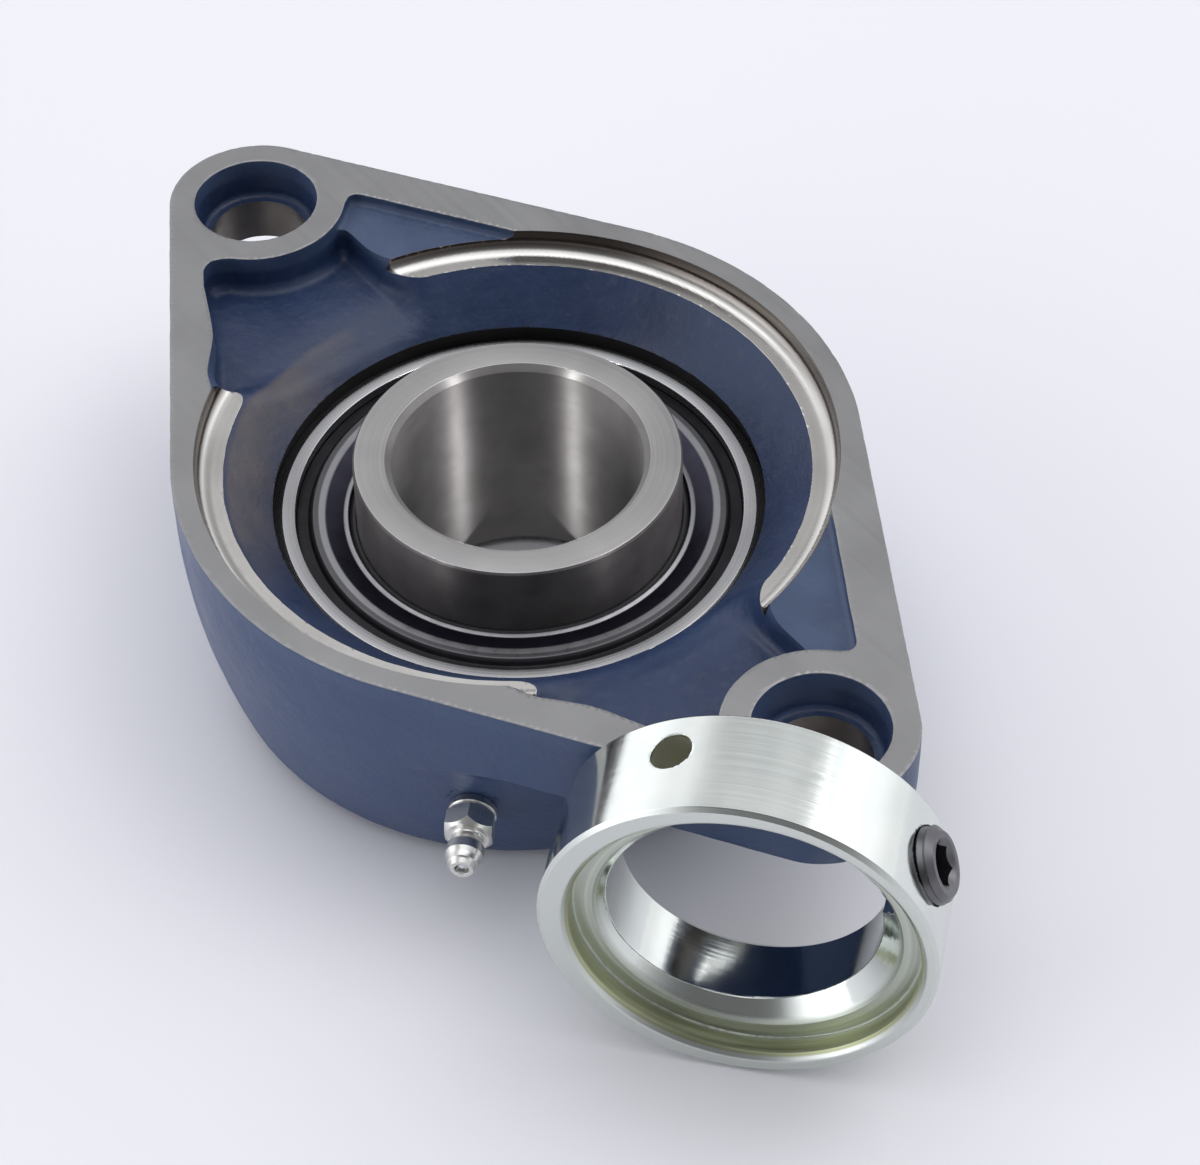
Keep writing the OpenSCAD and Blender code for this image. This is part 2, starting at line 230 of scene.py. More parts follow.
def contour(field, low, high, cell):
    """Points and quads of the surface where the field is 0 (dual contouring).

    Each grid cell that the surface crosses gets one point: where the tangent planes of the
    crossings on its edges meet best, so that edges and corners stay sharp."""
    axes = [np.arange(a - 2.37 * cell, b + 3 * cell, cell) for a, b in zip(low, high)]
    value = sample(field, axes)
    strides = np.array([len(axes[1]) * len(axes[2]), len(axes[2]), 1])
    cells, points, normals = [], [], []
    for along in range(3):
        index, point, leaving = crossings(field, value, axes, along)
        b, c = (along + 1) % 3, (along + 2) % 3
        around = []
        for db, dc in ((-1, -1), (0, -1), (0, 0), (-1, 0)):
            shifted = index.copy()
            shifted[:, b] += db
            shifted[:, c] += dc
            around.append(shifted @ strides)
        quad = np.stack(around, axis=1)
        quad[~leaving] = quad[~leaving][:, ::-1]
        cells.append(quad)
        points.append(point)
        normals.append(gradient(field, *point.T))
    quads = np.concatenate(cells)
    p = np.repeat(np.concatenate(points), 4, axis=0)
    n = np.repeat(np.concatenate(normals), 4, axis=0)
    ids, inverse = np.unique(quads.ravel(), return_inverse=True)
    return meeting_points(ids, inverse, p, n, axes, strides, cell), inverse.reshape(-1, 4)


def meeting_points(ids, inverse, p, n, axes, strides, cell):
    """For each cell, the point that lies best on all the tangent planes of its crossings."""
    count = len(ids)
    total = np.bincount(inverse, minlength=count)

    def summed(w):
        return np.bincount(inverse, weights=w, minlength=count)

    middle = np.stack([summed(p[:, k]) / total for k in range(3)], axis=1)
    offset = np.einsum("ij,ij->i", n, p - middle[inverse])
    left = np.empty((count, 3, 3))
    right = np.empty((count, 3))
    for i in range(3):
        right[:, i] = summed(n[:, i] * offset)
        for j in range(3):
            left[:, i, j] = summed(n[:, i] * n[:, j])
    left += 0.03 * np.eye(3)
    best = middle + np.linalg.solve(left, right[:, :, None])[:, :, 0]
    corner = np.stack([axes[0][ids // strides[0]], axes[1][ids % strides[0] // strides[1]],
                       axes[2][ids % strides[1]]], axis=1)
    return np.clip(best, corner - 0.02 * cell, corner + 1.02 * cell)


def raw_mesh(name, points, faces):
    """A mesh from points in metres and equal-sided faces."""
    mesh = bpy.data.meshes.new(name)
    sides = faces.shape[1]
    mesh.vertices.add(len(points))
    mesh.vertices.foreach_set("co", np.asarray(points, np.float32).ravel())
    mesh.loops.add(faces.size)
    mesh.loops.foreach_set("vertex_index", faces.ravel().astype(np.int32))
    mesh.polygons.add(len(faces))
    mesh.polygons.foreach_set("loop_start", np.arange(0, faces.size, sides, dtype=np.int32))
    mesh.update(calc_edges=True)
    mesh.validate()
    return mesh


def as_object(name, mesh):
    piece = bpy.data.objects.new(name, mesh)
    bpy.context.scene.collection.objects.link(piece)
    return piece


def thinned(piece, ratio):
    """The piece with fewer faces, its shape kept."""
    thin = piece.modifiers.new("thin", "DECIMATE")
    thin.ratio = ratio
    graph = bpy.context.evaluated_depsgraph_get()
    mesh = bpy.data.meshes.new_from_object(piece.evaluated_get(graph))
    piece.modifiers.clear()
    piece.data = mesh
    return piece


def corner_data(mesh):
    """Each face corner's vertex, and the centre of its face."""
    co = np.empty(len(mesh.vertices) * 3, np.float32)
    mesh.vertices.foreach_get("co", co)
    co = co.reshape(-1, 3)
    vertex = np.empty(len(mesh.loops), np.int32)
    mesh.loops.foreach_get("vertex_index", vertex)
    centre = np.empty(len(mesh.polygons) * 3, np.float32)
    mesh.polygons.foreach_get("center", centre)
    sides = np.empty(len(mesh.polygons), np.int32)
    mesh.polygons.foreach_get("loop_total", sides)
    return co[vertex], np.repeat(centre.reshape(-1, 3), sides, axis=0)


def smooth_by_field(mesh, field):
    """Gives each face corner the field's own direction, so round stays round and sharp sharp."""
    corner, centre = corner_data(mesh)
    q = (corner + 0.3 * (centre - corner)) / MM
    mesh.shade_smooth()
    mesh.normals_split_custom_set(gradient(field, *q.T.astype(float)).astype(np.float32))


def field_piece(name, field, low, high, cell, most_faces=190000):
    """An object whose surface is where the field is 0."""
    points, quads = contour(field, low, high, cell)
    piece = as_object(name, raw_mesh(name, points * MM, quads))
    if 2 * len(quads) > most_faces:
        thinned(piece, most_faces / (2 * len(quads)))
    smooth_by_field(piece.data, field)
    return piece


def soften(points, radius, steps=4):
    """A closed outline with each corner turned into a small arc."""
    points = [np.array(p, float) for p in points]
    out = []
    for i, here in enumerate(points):
        before, after = points[i - 1], points[(i + 1) % len(points)]
        u, v = before - here, after - here
        lu, lv = np.linalg.norm(u), np.linalg.norm(v)
        u, v = u / lu, v / lv
        half = math.acos(np.clip(u @ v, -1, 1)) / 2
        if half > math.radians(84):
            out.append(here)
            continue
        reach = min(radius / math.tan(half), 0.45 * lu, 0.45 * lv)
        r = reach * math.tan(half)
        middle = here + (u + v) / np.linalg.norm(u + v) * r / math.sin(half)
        a, b = here + u * reach - middle, here + v * reach - middle
        turn = math.pi - 2 * half
        for k in range(steps + 1):
            t = k / steps
            out.append(middle + (a * math.sin((1 - t) * turn) + b * math.sin(t * turn))
                       / math.sin(turn))
    return out


def lathe_piece(name, outline, segments=256, centre=(0.0, 0.0)):
    """A closed outline of (radius, z) turned round the Z axis through centre."""
    outline = np.array(outline)
    count = len(outline)
    angle = np.arange(segments) * 2 * math.pi / segments
    ring = np.stack([np.cos(angle), np.sin(angle)], axis=1)
    points = np.empty((segments, count, 3))
    points[:, :, :2] = ring[:, None, :] * outline[None, :, 0, None] + np.array(centre)
    points[:, :, 2] = outline[:, 1]
    i, k = np.meshgrid(np.arange(segments), np.arange(count), indexing="ij")
    i2, k2 = (i + 1) % segments, (k + 1) % count
    quads = np.stack([i * count + k, i2 * count + k, i2 * count + k2, i * count + k2], axis=-1)
    area = np.sum(outline[:, 0] * np.roll(outline[:, 1], -1)
                  - outline[:, 1] * np.roll(outline[:, 0], -1))
    quads = quads.reshape(-1, 4)
    if area < 0:
        quads = quads[:, ::-1]
    mesh = raw_mesh(name, points.reshape(-1, 3) * MM, np.ascontiguousarray(quads))
    mesh.shade_smooth()
    mesh.set_sharp_from_angle(angle=math.radians(35))
    return as_object(name, mesh)


# ---------------------------------------------------------------- the housing

def outline_field(x, y, inset=0.0):
    """Distance outside the flange's outline: round middle, lug ends, tangent sides."""
    along, across = np.abs(x), np.abs(y)
    slope = (flange_r - lug_r) / bolt_x
    flat = math.sqrt(1 - slope ** 2)
    k = flat * along - slope * across
    side = across * flat + along * slope - flange_r
    middle = np.hypot(along, across) - flange_r
    end = np.hypot(along - bolt_x, across) - lug_r
    return np.where(k < 0, middle, np.where(k > flat * bolt_x, end, side)) + inset


def pocket_field(x, y, z):
    """Empty space of the two lug pockets: deep below the step, shallow above it."""
    boss = BOSS_R - np.hypot(np.abs(x) - bolt_x, y)
    widen = np.clip((np.abs(x) - RIM_THIN_X) / RIM_THIN_RUN, 0, 1) * RIM_THIN * (y < 0)
    inside = round_max(outline_field(x, y, RIM_W) - widen, np.abs(x) - POCKET_X, 1.2)
    inside = round_max(inside, boss, 1.6)
    deep = round_max(inside, y - STEP_Y, 2.0)
    deep = round_max(deep, POCKET_IN_X - np.abs(x), 2.4)
    deep = round_max(deep, POCKET_Z - z - POCKET_SLOPE * (y + 10), 1.6)
    shallow = round_max(inside, STEP_Y - STEP_LAP - y, 0.5)
    shallow = round_max(shallow, SHALLOW_IN_X - np.abs(x), 0.5)
    shallow = round_max(shallow, SHALLOW_Z - z, 0.8)
    return deep, shallow


def bowl_field(r, z):
    """Empty space of the cast bowl: a cone from the ledge down to the seat."""
    run, drop = LEDGE_R - THROAT_R, REGISTER_Z - (seat_z + SEAT_HALF)
    length = math.hypot(run, drop)
    return ((r - LEDGE_R) * drop - (z - REGISTER_Z) * run) / length


def cast_field(x, y, z):
    """The casting before machining: it reaches above the mounting face."""
    r = np.hypot(x, y)
    plate = round_max(outline_field(x, y), -FLANGE_T - z, FLANGE_EDGE_R)
    barrel_x = flange_r - BARREL_R
    barrel = np.hypot(r - barrel_x, np.minimum(z - BARREL_TOP, 0)) - BARREL_R
    hub = round_max(barrel, hub_z - z, HUB_EDGE_R)
    body = round_min(plate, hub, HUB_FILLET)
    draft = BARREL_R - np.sqrt(BARREL_R ** 2 - np.minimum(z - BARREL_TOP, 0) ** 2)
    body = np.maximum(body, outline_field(x, y) + draft * (r > flange_r - 8))
    deep, shallow = pocket_field(x, y, z)
    empty = round_min(deep, bowl_field(r, z), 5.0)
    bolt_r = np.hypot(np.abs(x) - bolt_x, y)
    taper = (RECESS_TOP_R - RECESS_LOW_R) / -POCKET_Z
    recess = round_max(bolt_r - RECESS_TOP_R - taper * z, POCKET_Z - z, 0.8)
    body = np.maximum(body, -np.minimum(np.minimum(empty, shallow), recess))
    wave = waviness(x, y, z, CAST_WAVE, CAST_WAVE_H)
    return np.maximum(body + CAST_SKIN + wave, hub_z - z)


def nipple_axes():
    """Start of the nipple's axis on the bearing's axis, and its direction outwards."""
    out = -np.array(joints["check_ball_press"]["axis"])
    low, high = box_mm("nipple_ball")
    return np.array([0.0, 0.0, (low[2] + high[2]) / 2]), out / np.linalg.norm(out)


def machined_field(x, y, z):
    """Empty space that the cutters leave in the housing."""
    r = np.hypot(x, y)
    register = round_max(r - REGISTER_R, REGISTER_Z - z, REGISTER_FILLET)
    seat = np.maximum(np.sqrt(r ** 2 + (z - seat_z) ** 2) - SEAT_R,
                      slab(z - seat_z, -SEAT_HALF, SEAT_HALF))
    throat_z = seat_z - SEAT_HALF
    flare = (MOUTH_R - THROAT_R) / (throat_z - hub_z)
    mouth = np.maximum(r - THROAT_R - flare * (throat_z - z), z - throat_z)
    slots = np.maximum(np.maximum(np.abs(y) - SLOT_W / 2, r - SEAT_R), z - seat_z)
    drill = np.hypot(np.abs(x) - bolt_x, y) - bolt_hole_r
    start, out = nipple_axes()
    s = x * out[0] + y * out[1]
    nipple_r = np.hypot(x * out[1] - y * out[0], z - start[2])
    tapped = np.maximum(nipple_r - NIPPLE_HOLE_R, NIPPLE_HOLE_S - s)
    spot = np.maximum(nipple_r - SPOT_R, WALL_S - s)
    empty = np.minimum(np.minimum(register, seat), np.minimum(mouth, slots))
    return np.minimum(np.minimum(empty, drill), np.minimum(tapped, spot))


def housing_field(x, y, z):
    face = round_max(cast_field(x, y, z), z, MILLED_EDGE_R)
    return np.maximum(face, -machined_field(x, y, z))


def housing_finish(mesh):
    """Material of each face: 0 paint and machined faces, 1 the seat, painted near-black as shade, 2 a bolt hole's
    wall.
    """
    centre = np.empty(len(mesh.polygons) * 3, np.float32)
    mesh.polygons.foreach_get("center", centre)
    x, y, z = (centre.reshape(-1, 3) / MM).T
    r = np.hypot(x, y)
    kind = np.zeros(len(z), np.int32)
    ball = np.abs(np.sqrt(r ** 2 + (z - seat_z) ** 2) - SEAT_R) < 0.12
    kind[ball & (np.abs(z - seat_z) < SEAT_HALF + 0.15)] = 1
    kind[(r < MOUTH_R + 0.2) & (z < seat_z - SEAT_HALF) & (z > hub_z + 0.1)] = 1
    kind[(np.abs(np.hypot(np.abs(x) - bolt_x, y) - bolt_hole_r) < 0.12) & (z < POCKET_Z)] = 2
    mesh.polygons.foreach_set("material_index", kind)


# ---------------------------------------------------------------- materials

class Nodes:
    """A material's node tree, with short calls for the nodes used here."""

    def __init__(self, name, place=None):
        self.material = bpy.data.materials.new(name)
        self.material.use_nodes = True
        self.tree = self.material.node_tree
        self.shader = self.tree.nodes["Principled BSDF"]
        self.where = self.add("ShaderNodeTexCoord").outputs["Object"]
        if place is not None:
            mapping = self.add("ShaderNodeMapping", vector_type="TEXTURE")
            mapping.inputs["Location"].default_value = place.translation
            mapping.inputs["Rotation"].default_value = place.to_euler("XYZ")
            self.link(self.where, mapping.inputs["Vector"])
            self.where = mapping.outputs["Vector"]

    def add(self, kind, **values):
        node = self.tree.nodes.new(kind)
        for key, value in values.items():
            setattr(node, key, value)
        return node

    def link(self, source, target):
        self.tree.links.new(source, target)

    def noise(self, scale, detail=3.0, roughness=0.5, stretch=None):
        """Noise with about scale lumps to the metre."""
        node = self.add("ShaderNodeTexNoise")
        node.inputs["Scale"].default_value = scale
        node.inputs["Detail"].default_value = detail
        node.inputs["Roughness"].default_value = roughness
        where = self.where
        if stretch:
            mapping = self.add("ShaderNodeMapping")
            mapping.inputs["Scale"].default_value = stretch
            self.link(where, mapping.inputs["Vector"])
            where = mapping.outputs["Vector"]
        self.link(where, node.inputs["Vector"])
        return node.outputs["Fac"]

    def ramp(self, source, stops):
        """Colours by value: stops are (position, colour)."""
        node = self.add("ShaderNodeValToRGB")
        elements = node.color_ramp.elements
        while len(elements) < len(stops):
            elements.new(0.5)
        for element, (position, colour) in zip(elements, stops):
            element.position = position
            element.color = (*colour, 1.0)
        self.link(source, node.inputs["Fac"])
        return node.outputs["Color"]

    def span(self, source, low, high, to_low, to_high):
        """A value mapped from one range to another."""
        node = self.add("ShaderNodeMapRange")
        for key, value in (("From Min", low), ("From Max", high), ("To Min", to_low),
                           ("To Max", to_high)):
            node.inputs[key].default_value = value
        self.link(source, node.inputs["Value"])
        return node.outputs["Result"]

    def maths(self, operation, first, second=None):
        node = self.add("ShaderNodeMath", operation=operation)
        for socket, value in zip(node.inputs, (first, second)):
            if value is None:
                continue
            if isinstance(value, (int, float)):
                socket.default_value = value
            else:
                self.link(value, socket)
        return node.outputs["Value"]

    def mix(self, share, first, second):
        """Colour first where share is 0 and second where it is 1."""
        node = self.add("ShaderNodeMix", data_type="RGBA")
        self.link(share, node.inputs["Factor"])
        for socket, value in ((node.inputs[6], first), (node.inputs[7], second)):
            if isinstance(value, tuple):
                socket.default_value = (*value, 1.0)
            else:
                self.link(value, socket)
        return node.outputs[2]

    def radius(self):
        """Distance from the bearing's axis, in metres, and the height."""
        parts = self.add("ShaderNodeSeparateXYZ")
        self.link(self.where, parts.inputs[0])
        x2 = self.maths("MULTIPLY", parts.outputs[0], parts.outputs[0])
        y2 = self.maths("MULTIPLY", parts.outputs[1], parts.outputs[1])
        return self.maths("SQRT", self.maths("ADD", x2, y2)), parts.outputs[2]

    def outwards(self):
        """How far the surface faces away from the bearing's axis: 1 on an outer wall."""
        flat = self.add("ShaderNodeVectorMath", operation="MULTIPLY")
        flat.inputs[1].default_value = (1, 1, 0)
        self.link(self.where, flat.inputs[0])
        radial = self.add("ShaderNodeVectorMath", operation="NORMALIZE")
        self.link(flat.outputs["Vector"], radial.inputs[0])
        dot = self.add("ShaderNodeVectorMath", operation="DOT_PRODUCT")
        self.link(radial.outputs["Vector"], dot.inputs[0])
        self.link(self.add("ShaderNodeNewGeometry").outputs["Normal"], dot.inputs[1])
        return dot.outputs["Value"]

    def rings(self, scale):
        """Fine noise that is the same all the way round the axis."""
        r, height = self.radius()
        along = self.add("ShaderNodeCombineXYZ")
        self.link(r, along.inputs[0])
        self.link(height, along.inputs[1])
        node = self.add("ShaderNodeTexNoise")
        node.inputs["Scale"].default_value = scale
        node.inputs["Detail"].default_value = 2.0
        self.link(along.outputs[0], node.inputs["Vector"])
        return node.outputs["Fac"]

    def blend(self, share, first, second):
        """Value first where share is 0 and second where it is 1."""
        node = self.add("ShaderNodeMix", data_type="FLOAT")
        for socket, value in ((node.inputs[0], share), (node.inputs[2], first),
                              (node.inputs[3], second)):
            if isinstance(value, (int, float)):
                socket.default_value = value
            else:
                self.link(value, socket)
        return node.outputs[0]

    def bump(self, height, distance, strength=1.0, under=None):
        node = self.add("ShaderNodeBump")
        node.inputs["Distance"].default_value = distance
        node.inputs["Strength"].default_value = strength
        self.link(height, node.inputs["Height"])
        if under is not None:
            self.link(under, node.inputs["Normal"])
        return node.outputs["Normal"]

    def finish(self, colour=None, rough=None, normal=None, metal=None, **fixed):
        for key, value in (("Base Color", colour), ("Roughness", rough), ("Normal", normal),
                           ("Metallic", metal)):
            if value is not None:
                self.link(value, self.shader.inputs[key])
        for key, value in fixed.items():
            self.shader.inputs[key.replace("_", " ")].default_value = value
        return self.material


def paint_colour(m, r, height):
    """Navy paint: mottled in the shallow pockets, thin in part of the bowl, and paler on outer walls as a painted
    sheen.
    """
    deep, pale = (0.010, 0.024, 0.070), (0.021, 0.044, 0.112)
    colour = m.ramp(m.noise(45, 4.0, 0.6), [(0.3, deep), (0.7, pale)])
    light = m.maths("MULTIPLY", m.span(height, -2.9 * MM, -2.0 * MM, 0.0, 1.0), m.noise(160, 3.0))
    colour = m.mix(light, colour, (0.062, 0.095, 0.175))
    colour = m.mix(m.span(m.noise(700, 2.0), 0.55, 0.8, 0.0, 0.35), colour, (0.06, 0.075, 0.115))
    # Painted sheen: walls facing away from the axis are made paler, standing in for the floor's light reflected at
    # a grazing angle.
    colour = m.mix(m.span(m.outwards(), 0.35, 0.65, 0.0, 0.75), colour, (0.040, 0.072, 0.165))
    side = m.add("ShaderNodeVectorMath", operation="DOT_PRODUCT")
    side.inputs[1].default_value = (math.cos(THIN_TURN), math.sin(THIN_TURN), 0)
    m.link(m.where, side.inputs[0])
    thin = m.maths("MULTIPLY", m.span(side.outputs["Value"], 27 * MM, 36 * MM, 0.0, 1.0),
                   m.span(r, 40.8 * MM, 39.8 * MM, 0.0, 1.0))
    thin = m.maths("MULTIPLY", thin, m.span(m.noise(130, 3.0), 0.3, 0.6, 0.55, 1.0))
    return m.mix(thin, colour, (0.095, 0.088, 0.098))


def casting():
    """Satin paint over a sand casting, with the mounting face milled and the register turned."""
    m = Nodes("cast_paint")
    r, height = m.radius()
    milled = m.span(height, -0.12 * MM, -0.07 * MM, 0.0, 1.0)
    above = m.span(height, (REGISTER_Z - 0.06) * MM, (REGISTER_Z - 0.03) * MM, 0.0, 1.0)
    within = m.span(r, (REGISTER_R + 0.07) * MM, (REGISTER_R + 0.03) * MM, 0.0, 1.0)
    turned = m.maths("MULTIPLY", above, within)
    bare = m.maths("MAXIMUM", milled, turned)
    lines = m.noise(900, 2.0, stretch=(0.05, 1.0, 1.0))
    rings = m.rings(2500)
    face = m.ramp(m.noise(60, 3.0), [(0.3, (0.245, 0.245, 0.245)), (0.7, (0.295, 0.295, 0.295))])
    ledge = m.ramp(m.noise(80, 3.0), [(0.3, (0.50, 0.49, 0.46)), (0.7, (0.62, 0.61, 0.58))])
    # Painted shade: the turned register wall gets a dark colour, much darker than the ledge of the same turned
    # iron, standing in for the shade and dark reflection it sits in.
    wall = m.span(r, (REGISTER_R - 1.0) * MM, (REGISTER_R - 0.3) * MM, 0.0, 1.0)
    ledge = m.mix(wall, ledge, (0.15, 0.13, 0.115))
    colour = m.mix(turned, paint_colour(m, r, height), ledge)
    colour = m.mix(milled, colour, face)
    rough = m.span(m.noise(45, 4.0, 0.6), 0.3, 0.7, 0.34, 0.5)
    rough = m.blend(turned, rough, m.span(rings, 0.3, 0.7, 0.16, 0.24))
    rough = m.blend(milled, rough, m.span(lines, 0.3, 0.7, 0.38, 0.5))
    grain = m.bump(m.blend(bare, m.noise(900, 4.0, 0.6), 0.5), 0.2 * MM, 0.5)
    lumps = m.bump(m.blend(bare, m.noise(140, 2.0), 0.5), 0.4 * MM, 0.4, under=grain)
    return m.finish(colour, rough, lumps, metal=m.maths("MULTIPLY", bare, 0.95),
                    Specular_IOR_Level=0.45)


def turned_metal(name, low, high, rough_low, rough_high, grain=0.6, metal=1.0):
    """Turned or ground steel: very fine rings round the piece's axis."""
    m = Nodes(name)
    marks = m.rings(2500)
    colour = m.ramp(m.noise(80, 3.0), [(0.3, low), (0.7, high)])
    rough = m.span(marks, 0.3, 0.7, rough_low, rough_high)
    return m.finish(colour, rough, m.bump(marks, 0.02 * MM, 0.25), Metallic=metal,
                    Anisotropic=grain, Anisotropic_Rotation=0.25)


def ring_steel():
    """Honed bore of the inner ring, whose highlights run lengthwise, with the ring's outside painted darker as
    shade.
    """
    m = Nodes("ring_steel")
    outside = m.span(m.radius()[0], (inner_r - 0.6) * MM, (inner_r - 0.4) * MM, 0.0, 1.0)
    marks = m.rings(2500)
    bore = m.ramp(m.noise(200, 3.0), [(0.3, (0.25, 0.24, 0.235)), (0.7, (0.31, 0.30, 0.295))])
    # Painted shade: the outside of the inner ring gets a much darker steel colour than its bore, standing in for
    # the dark surroundings it reflects.
    outside_painted_shade = m.ramp(m.noise(200, 3.0), [(0.3, (0.12, 0.11, 0.11)), (0.7, (0.17, 0.16, 0.16))])
    rough = m.span(marks, 0.3, 0.7, 0.42, 0.48)
    return m.finish(m.mix(outside, bore, outside_painted_shade), rough, m.bump(marks, 0.02 * MM, 0.2), Metallic=1.0,
                    Anisotropic=1.0, Anisotropic_Rotation=0.25)


def seal_cover():
    """Dark seal cover, with painted highlights as bright rings on the top of its bead and at its inner edge, and a
    grey band outside the bead's ring.
    """
    m = Nodes("seal_cover")
    r = m.radius()[0]
    # Painted highlights: a pale colour goes on the bead's top and on the inner edge, where the bends of the cover
    # catch the light.
    dark, crest_highlight = (0.012, 0.012, 0.014), (0.30, 0.30, 0.31)
    stops = [
        (24.45, crest_highlight), (24.7, (0.022, 0.021, 0.034)), (27.0, (0.026, 0.025, 0.042)),
        (27.3, crest_highlight), (28.0, crest_highlight), (28.2, (0.10, 0.10, 0.105)), (28.9, (0.10, 0.10, 0.105)),
        (29.3, dark)
    ]
    low, high = 23.5, 31.5
    stops = [((radius - low) / (high - low), colour) for radius, colour in stops]
    colour = m.ramp(m.span(r, low * MM, high * MM, 0.0, 1.0), stops)
    dust = m.span(m.noise(260, 3.0), 0.45, 0.75, 0.0, 0.10)
    colour = m.mix(dust, colour, (0.10, 0.10, 0.12))
    rough = m.span(m.noise(500, 2.0), 0.3, 0.7, 0.26, 0.38)
    return m.finish(colour, rough, Metallic=0.75)


def chromate(place):
    """Zinc plate on the collar: duller front face, yellower and finely ringed bored recess."""
    m = Nodes("zinc_chromate", place)
    r, height = m.radius()
    colour = m.ramp(m.noise(120, 3.0), [(0.3, (0.66, 0.70, 0.67)), (0.7, (0.74, 0.77, 0.73))])
    rings = m.rings(1300)
    inside = m.maths("MULTIPLY", m.span(r, 23.6 * MM, 23.3 * MM, 0.0, 1.0),
                     m.span(height, 0.15 * MM, 0.4 * MM, 0.0, 1.0))
    inside = m.maths("MULTIPLY", inside, m.span(height, 4.2 * MM, 3.6 * MM, 0.0, 1.0))
    wall = m.maths("MULTIPLY", inside, m.span(height, 3.4 * MM, 2.6 * MM, 0.0, 1.0))
    pale = m.ramp(rings, [(0.35, (0.40, 0.43, 0.38)), (0.65, (0.60, 0.64, 0.57))])
    yellow = m.ramp(rings, [(0.35, (0.33, 0.35, 0.20)), (0.65, (0.52, 0.54, 0.36))])
    colour = m.mix(wall, m.mix(inside, colour, pale), yellow)
    hole = m.maths("MULTIPLY", m.span(r, 25.3 * MM, 25.0 * MM, 0.0, 1.0),
                   m.span(r, 19.5 * MM, 19.8 * MM, 0.0, 1.0))
    hole = m.maths("MULTIPLY", hole, m.span(height, 5.5 * MM, 6.0 * MM, 0.0, 1.0))
    colour = m.mix(hole, colour, (0.50, 0.50, 0.42))
    rough = m.span(m.noise(500, 3.0), 0.3, 0.7, 0.10, 0.16)
    rough = m.blend(inside, rough, m.span(rings, 0.3, 0.7, 0.34, 0.46))
    rough = m.blend(hole, rough, 0.6)
    front = m.span(height, 0.6 * MM, 0.4 * MM, 0.0, 1.0)
    rough = m.blend(front, rough, 0.3)
    colour = m.mix(front, colour, (0.62, 0.65, 0.62))
    return m.finish(colour, rough, m.bump(rings, 0.03 * MM, 0.3), Metallic=1.0)


def plain_metal(name, low, high, rough_low, rough_high):
    """Plated or plain steel with a slight cloudiness."""
    m = Nodes(name)
    cloud = m.noise(120, 3.0)
    colour = m.ramp(cloud, [(0.3, low), (0.7, high)])
    rough = m.span(m.noise(500, 3.0), 0.3, 0.7, rough_low, rough_high)
    return m.finish(colour, rough, Metallic=1.0)


def rubber():
    m = Nodes("seal_rubber")
    black, worn = (0.012, 0.012, 0.014), (0.022, 0.022, 0.026)
    colour = m.ramp(m.noise(300, 3.0), [(0.3, black), (0.7, worn)])
    rough = m.span(m.noise(900, 2.0), 0.3, 0.7, 0.4, 0.6)
    return m.finish(colour, rough, Metallic=0.0)


THIN_TURN = math.radians(-135)

CASTING = casting()
# Painted shade: the spherical seat and the mouth below it get a near-black iron colour, standing for the dark gap
# round the outer ring.
SEAT_PAINTED_SHADE = turned_metal("seat_iron", (0.035, 0.035, 0.038), (0.06, 0.06, 0.062), 0.35, 0.5, metal=0.8)
DRILLED = turned_metal("drilled_iron", (0.08, 0.07, 0.065), (0.17, 0.15, 0.135), 0.3, 0.45)
RING = ring_steel()
RING_FACE = turned_metal("ring_face", (0.34, 0.335, 0.33), (0.41, 0.405, 0.395), 0.32, 0.4, 0.3)
GROUND = turned_metal("ground_steel", (0.40, 0.40, 0.41), (0.48, 0.48, 0.48), 0.2, 0.3)
SEAL_STEEL = seal_cover()
RUBBER = rubber()
BALL_STEEL = plain_metal("ball_steel", (0.62, 0.62, 0.64), (0.70, 0.70, 0.71), 0.06, 0.10)
CAGE_STEEL = plain_metal("cage_steel", (0.36, 0.31, 0.24), (0.46, 0.41, 0.33), 0.3, 0.42)
WASHER_STEEL = plain_metal("washer_steel", (0.42, 0.42, 0.43), (0.5, 0.5, 0.51), 0.3, 0.4)
ZINC = plain_metal("nipple_zinc", (0.66, 0.66, 0.64), (0.76, 0.75, 0.71), 0.24, 0.36)
OXIDE = plain_metal("black_oxide", (0.13, 0.13, 0.137), (0.17, 0.17, 0.18), 0.3, 0.42)


def dress(piece, *materials):
    piece.data.materials.clear()
    for material in materials:
        piece.data.materials.append(material)
    return piece


def add_piece(piece, body, slot, nodes, *materials):
    """Finishes a new piece: materials, body and the CAD nodes that it stands for. The slot is not used."""
    kinds = np.zeros(len(piece.data.polygons), np.int32)
    piece.data.polygons.foreach_get("material_index", kinds)
    dress(piece, *materials)
    piece.data.polygons.foreach_set("material_index", kinds)
    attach(piece, body)
    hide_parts(*nodes)
    return piece


# ---------------------------------------------------------------- pieces

def make_housing():
    piece = field_piece("cast_housing", housing_field, housing_low, housing_high, 0.55)
    housing_finish(piece.data)
    add_piece(piece, "housing", "cast_paint", ["housing"], CASTING, SEAT_PAINTED_SHADE, DRILLED)


def make_inner_ring():
    top, low = inner_high_z, inner_low_z
    outline = [
        (bore_r, low + BORE_CHAMFER), (bore_r, top - BORE_MOUTH), (bore_r + BORE_MOUTH, top),
        (inner_r - 0.3, top), (inner_r, top - 0.3), (inner_r, seat_z - 11),
        (inner_r, low + 0.45), (inner_r - 0.45, low), (bore_r + BORE_CHAMFER, low)
    ]
    piece = lathe_piece("bearing_inner_ring", soften(outline, 0.15))
    middle, half = (top + low) / 2, (top - low) / 2
    for face in piece.data.polygons:
        face.material_index = int(abs(face.center.z / MM - middle) > half - 0.1)
    add_piece(piece, "inner", "ring_steel", ["inner_ring"], RING, RING_FACE)


def mirrored(outline, side):
    return [(r, seat_z + side * h) for r, h in outline]


